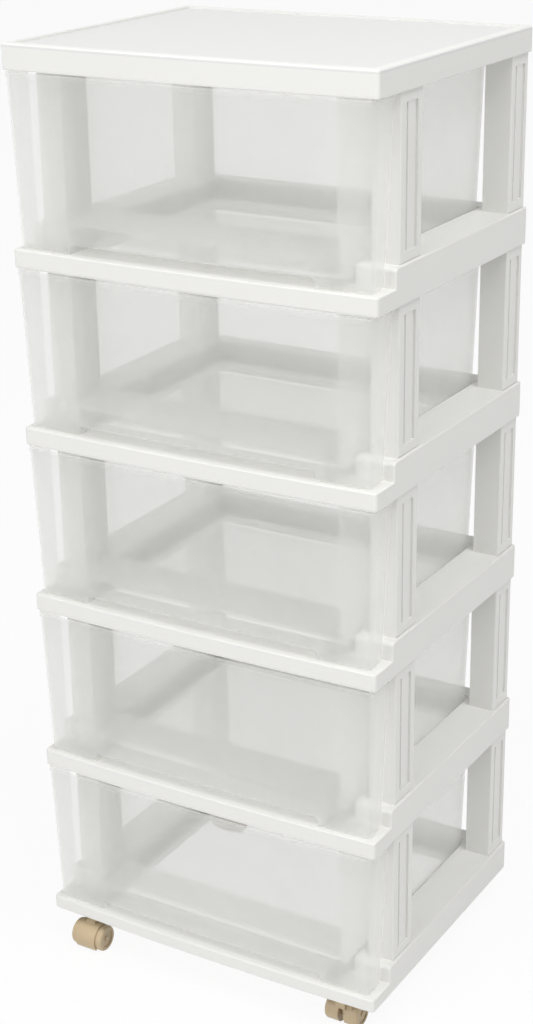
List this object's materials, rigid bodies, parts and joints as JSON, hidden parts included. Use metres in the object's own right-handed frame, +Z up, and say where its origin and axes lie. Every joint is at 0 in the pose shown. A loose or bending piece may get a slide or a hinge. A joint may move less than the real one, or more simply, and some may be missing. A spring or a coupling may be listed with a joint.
{
  "type": "plastic drawer tower",
  "caption": "Tall free-standing plastic drawer tower: milky translucent drawers in white open frames on corner posts, flat tray top, on small tan twin-wheel casters.",
  "frame": {"origin": "on the floor, under the middle of the frames", "axes": "+Z up, +X to the right as seen from the front, -Y the way the drawers open"},
  "size_m": [0.392, 0.3322, 0.9607],
  "materials": {
    "frame_white": "satin white moulded plastic",
    "drawer_translucent": "milky translucent moulded plastic",
    "caster_tan": "tan moulded plastic, light gloss",
    "caster_steel": "bright zinc"
  },
  "bodies": {
    "tower": {"top_board": "frame_white", "shelf_frame_1": "frame_white", "shelf_frame_2": "frame_white", "shelf_frame_3": "frame_white", "shelf_frame_4": "frame_white", "base_frame": "frame_white", "post_1_front_left": "frame_white", "post_1_front_right": "frame_white", "post_1_rear_left": "frame_white", "post_1_rear_right": "frame_white", "post_2_front_left": "frame_white", "post_2_front_right": "frame_white", "post_2_rear_left": "frame_white", "post_2_rear_right": "frame_white", "post_3_front_left": "frame_white", "post_3_front_right": "frame_white", "post_3_rear_left": "frame_white", "post_3_rear_right": "frame_white", "post_4_front_left": "frame_white", "post_4_front_right": "frame_white", "post_4_rear_left": "frame_white", "post_4_rear_right": "frame_white", "post_5_front_left": "frame_white", "post_5_front_right": "frame_white", "post_5_rear_left": "frame_white", "post_5_rear_right": "frame_white", "caster_front_left_stem": "caster_steel", "caster_front_right_stem": "caster_steel", "caster_rear_left_stem": "caster_steel", "caster_rear_right_stem": "caster_steel"},
    "drawer_body_1": {"drawer_1": "drawer_translucent"},
    "drawer_body_2": {"drawer_2": "drawer_translucent"},
    "drawer_body_3": {"drawer_3": "drawer_translucent"},
    "drawer_body_4": {"drawer_4": "drawer_translucent"},
    "drawer_body_5": {"drawer_5": "drawer_translucent"},
    "caster_front_left": {"caster_front_left_hood": "caster_tan", "caster_front_left_axle": "caster_steel"},
    "caster_front_left_left_wheel_body": {"caster_front_left_wheel_left": "caster_tan"},
    "caster_front_left_right_wheel_body": {"caster_front_left_wheel_right": "caster_tan"},
    "caster_front_right": {"caster_front_right_hood": "caster_tan", "caster_front_right_axle": "caster_steel"},
    "caster_front_right_left_wheel_body": {"caster_front_right_wheel_left": "caster_tan"},
    "caster_front_right_right_wheel_body": {"caster_front_right_wheel_right": "caster_tan"},
    "caster_rear_left": {"caster_rear_left_hood": "caster_tan", "caster_rear_left_axle": "caster_steel"},
    "caster_rear_left_left_wheel_body": {"caster_rear_left_wheel_left": "caster_tan"},
    "caster_rear_left_right_wheel_body": {"caster_rear_left_wheel_right": "caster_tan"},
    "caster_rear_right": {"caster_rear_right_hood": "caster_tan", "caster_rear_right_axle": "caster_steel"},
    "caster_rear_right_left_wheel_body": {"caster_rear_right_wheel_left": "caster_tan"},
    "caster_rear_right_right_wheel_body": {"caster_rear_right_wheel_right": "caster_tan"}
  },
  "joints": [
    {"name": "drawer_1_slide", "type": "slide", "parent": "tower", "child": "drawer_body_1", "axis": [0, -1, 0], "range_m": [0, 0.23]},
    {"name": "drawer_2_slide", "type": "slide", "parent": "tower", "child": "drawer_body_2", "axis": [0, -1, 0], "range_m": [0, 0.23]},
    {"name": "drawer_3_slide", "type": "slide", "parent": "tower", "child": "drawer_body_3", "axis": [0, -1, 0], "range_m": [0, 0.23]},
    {"name": "drawer_4_slide", "type": "slide", "parent": "tower", "child": "drawer_body_4", "axis": [0, -1, 0], "range_m": [0, 0.23]},
    {"name": "drawer_5_slide", "type": "slide", "parent": "tower", "child": "drawer_body_5", "axis": [0, -1, 0], "range_m": [0, 0.23]},
    {"name": "caster_front_left_swivel", "type": "hinge", "parent": "tower", "child": "caster_front_left", "pos_m": [-0.152, -0.141, 0.0385], "axis": [0, 0, 1], "continuous": true},
    {"name": "caster_front_left_left_wheel_spin", "type": "hinge", "parent": "caster_front_left", "child": "caster_front_left_left_wheel_body", "pos_m": [-0.152, -0.15, 0.014], "axis": [1, 0, 0], "continuous": true},
    {"name": "caster_front_left_right_wheel_spin", "type": "hinge", "parent": "caster_front_left", "child": "caster_front_left_right_wheel_body", "pos_m": [-0.152, -0.15, 0.014], "axis": [1, 0, 0], "continuous": true},
    {"name": "caster_front_right_swivel", "type": "hinge", "parent": "tower", "child": "caster_front_right", "pos_m": [0.152, -0.141, 0.0385], "axis": [0, 0, 1], "continuous": true},
    {"name": "caster_front_right_left_wheel_spin", "type": "hinge", "parent": "caster_front_right", "child": "caster_front_right_left_wheel_body", "pos_m": [0.152, -0.132, 0.014], "axis": [1, 0, 0], "continuous": true},
    {"name": "caster_front_right_right_wheel_spin", "type": "hinge", "parent": "caster_front_right", "child": "caster_front_right_right_wheel_body", "pos_m": [0.152, -0.132, 0.014], "axis": [1, 0, 0], "continuous": true},
    {"name": "caster_rear_left_swivel", "type": "hinge", "parent": "tower", "child": "caster_rear_left", "pos_m": [-0.152, 0.141, 0.0385], "axis": [0, 0, 1], "continuous": true},
    {"name": "caster_rear_left_left_wheel_spin", "type": "hinge", "parent": "caster_rear_left", "child": "caster_rear_left_left_wheel_body", "pos_m": [-0.152, 0.132, 0.014], "axis": [1, 0, 0], "continuous": true},
    {"name": "caster_rear_left_right_wheel_spin", "type": "hinge", "parent": "caster_rear_left", "child": "caster_rear_left_right_wheel_body", "pos_m": [-0.152, 0.132, 0.014], "axis": [1, 0, 0], "continuous": true},
    {"name": "caster_rear_right_swivel", "type": "hinge", "parent": "tower", "child": "caster_rear_right", "pos_m": [0.152, 0.141, 0.0385], "axis": [0, 0, 1], "continuous": true},
    {"name": "caster_rear_right_left_wheel_spin", "type": "hinge", "parent": "caster_rear_right", "child": "caster_rear_right_left_wheel_body", "pos_m": [0.152, 0.15, 0.014], "axis": [1, 0, 0], "continuous": true},
    {"name": "caster_rear_right_right_wheel_spin", "type": "hinge", "parent": "caster_rear_right", "child": "caster_rear_right_right_wheel_body", "pos_m": [0.152, 0.15, 0.014], "axis": [1, 0, 0], "continuous": true}
  ]
}
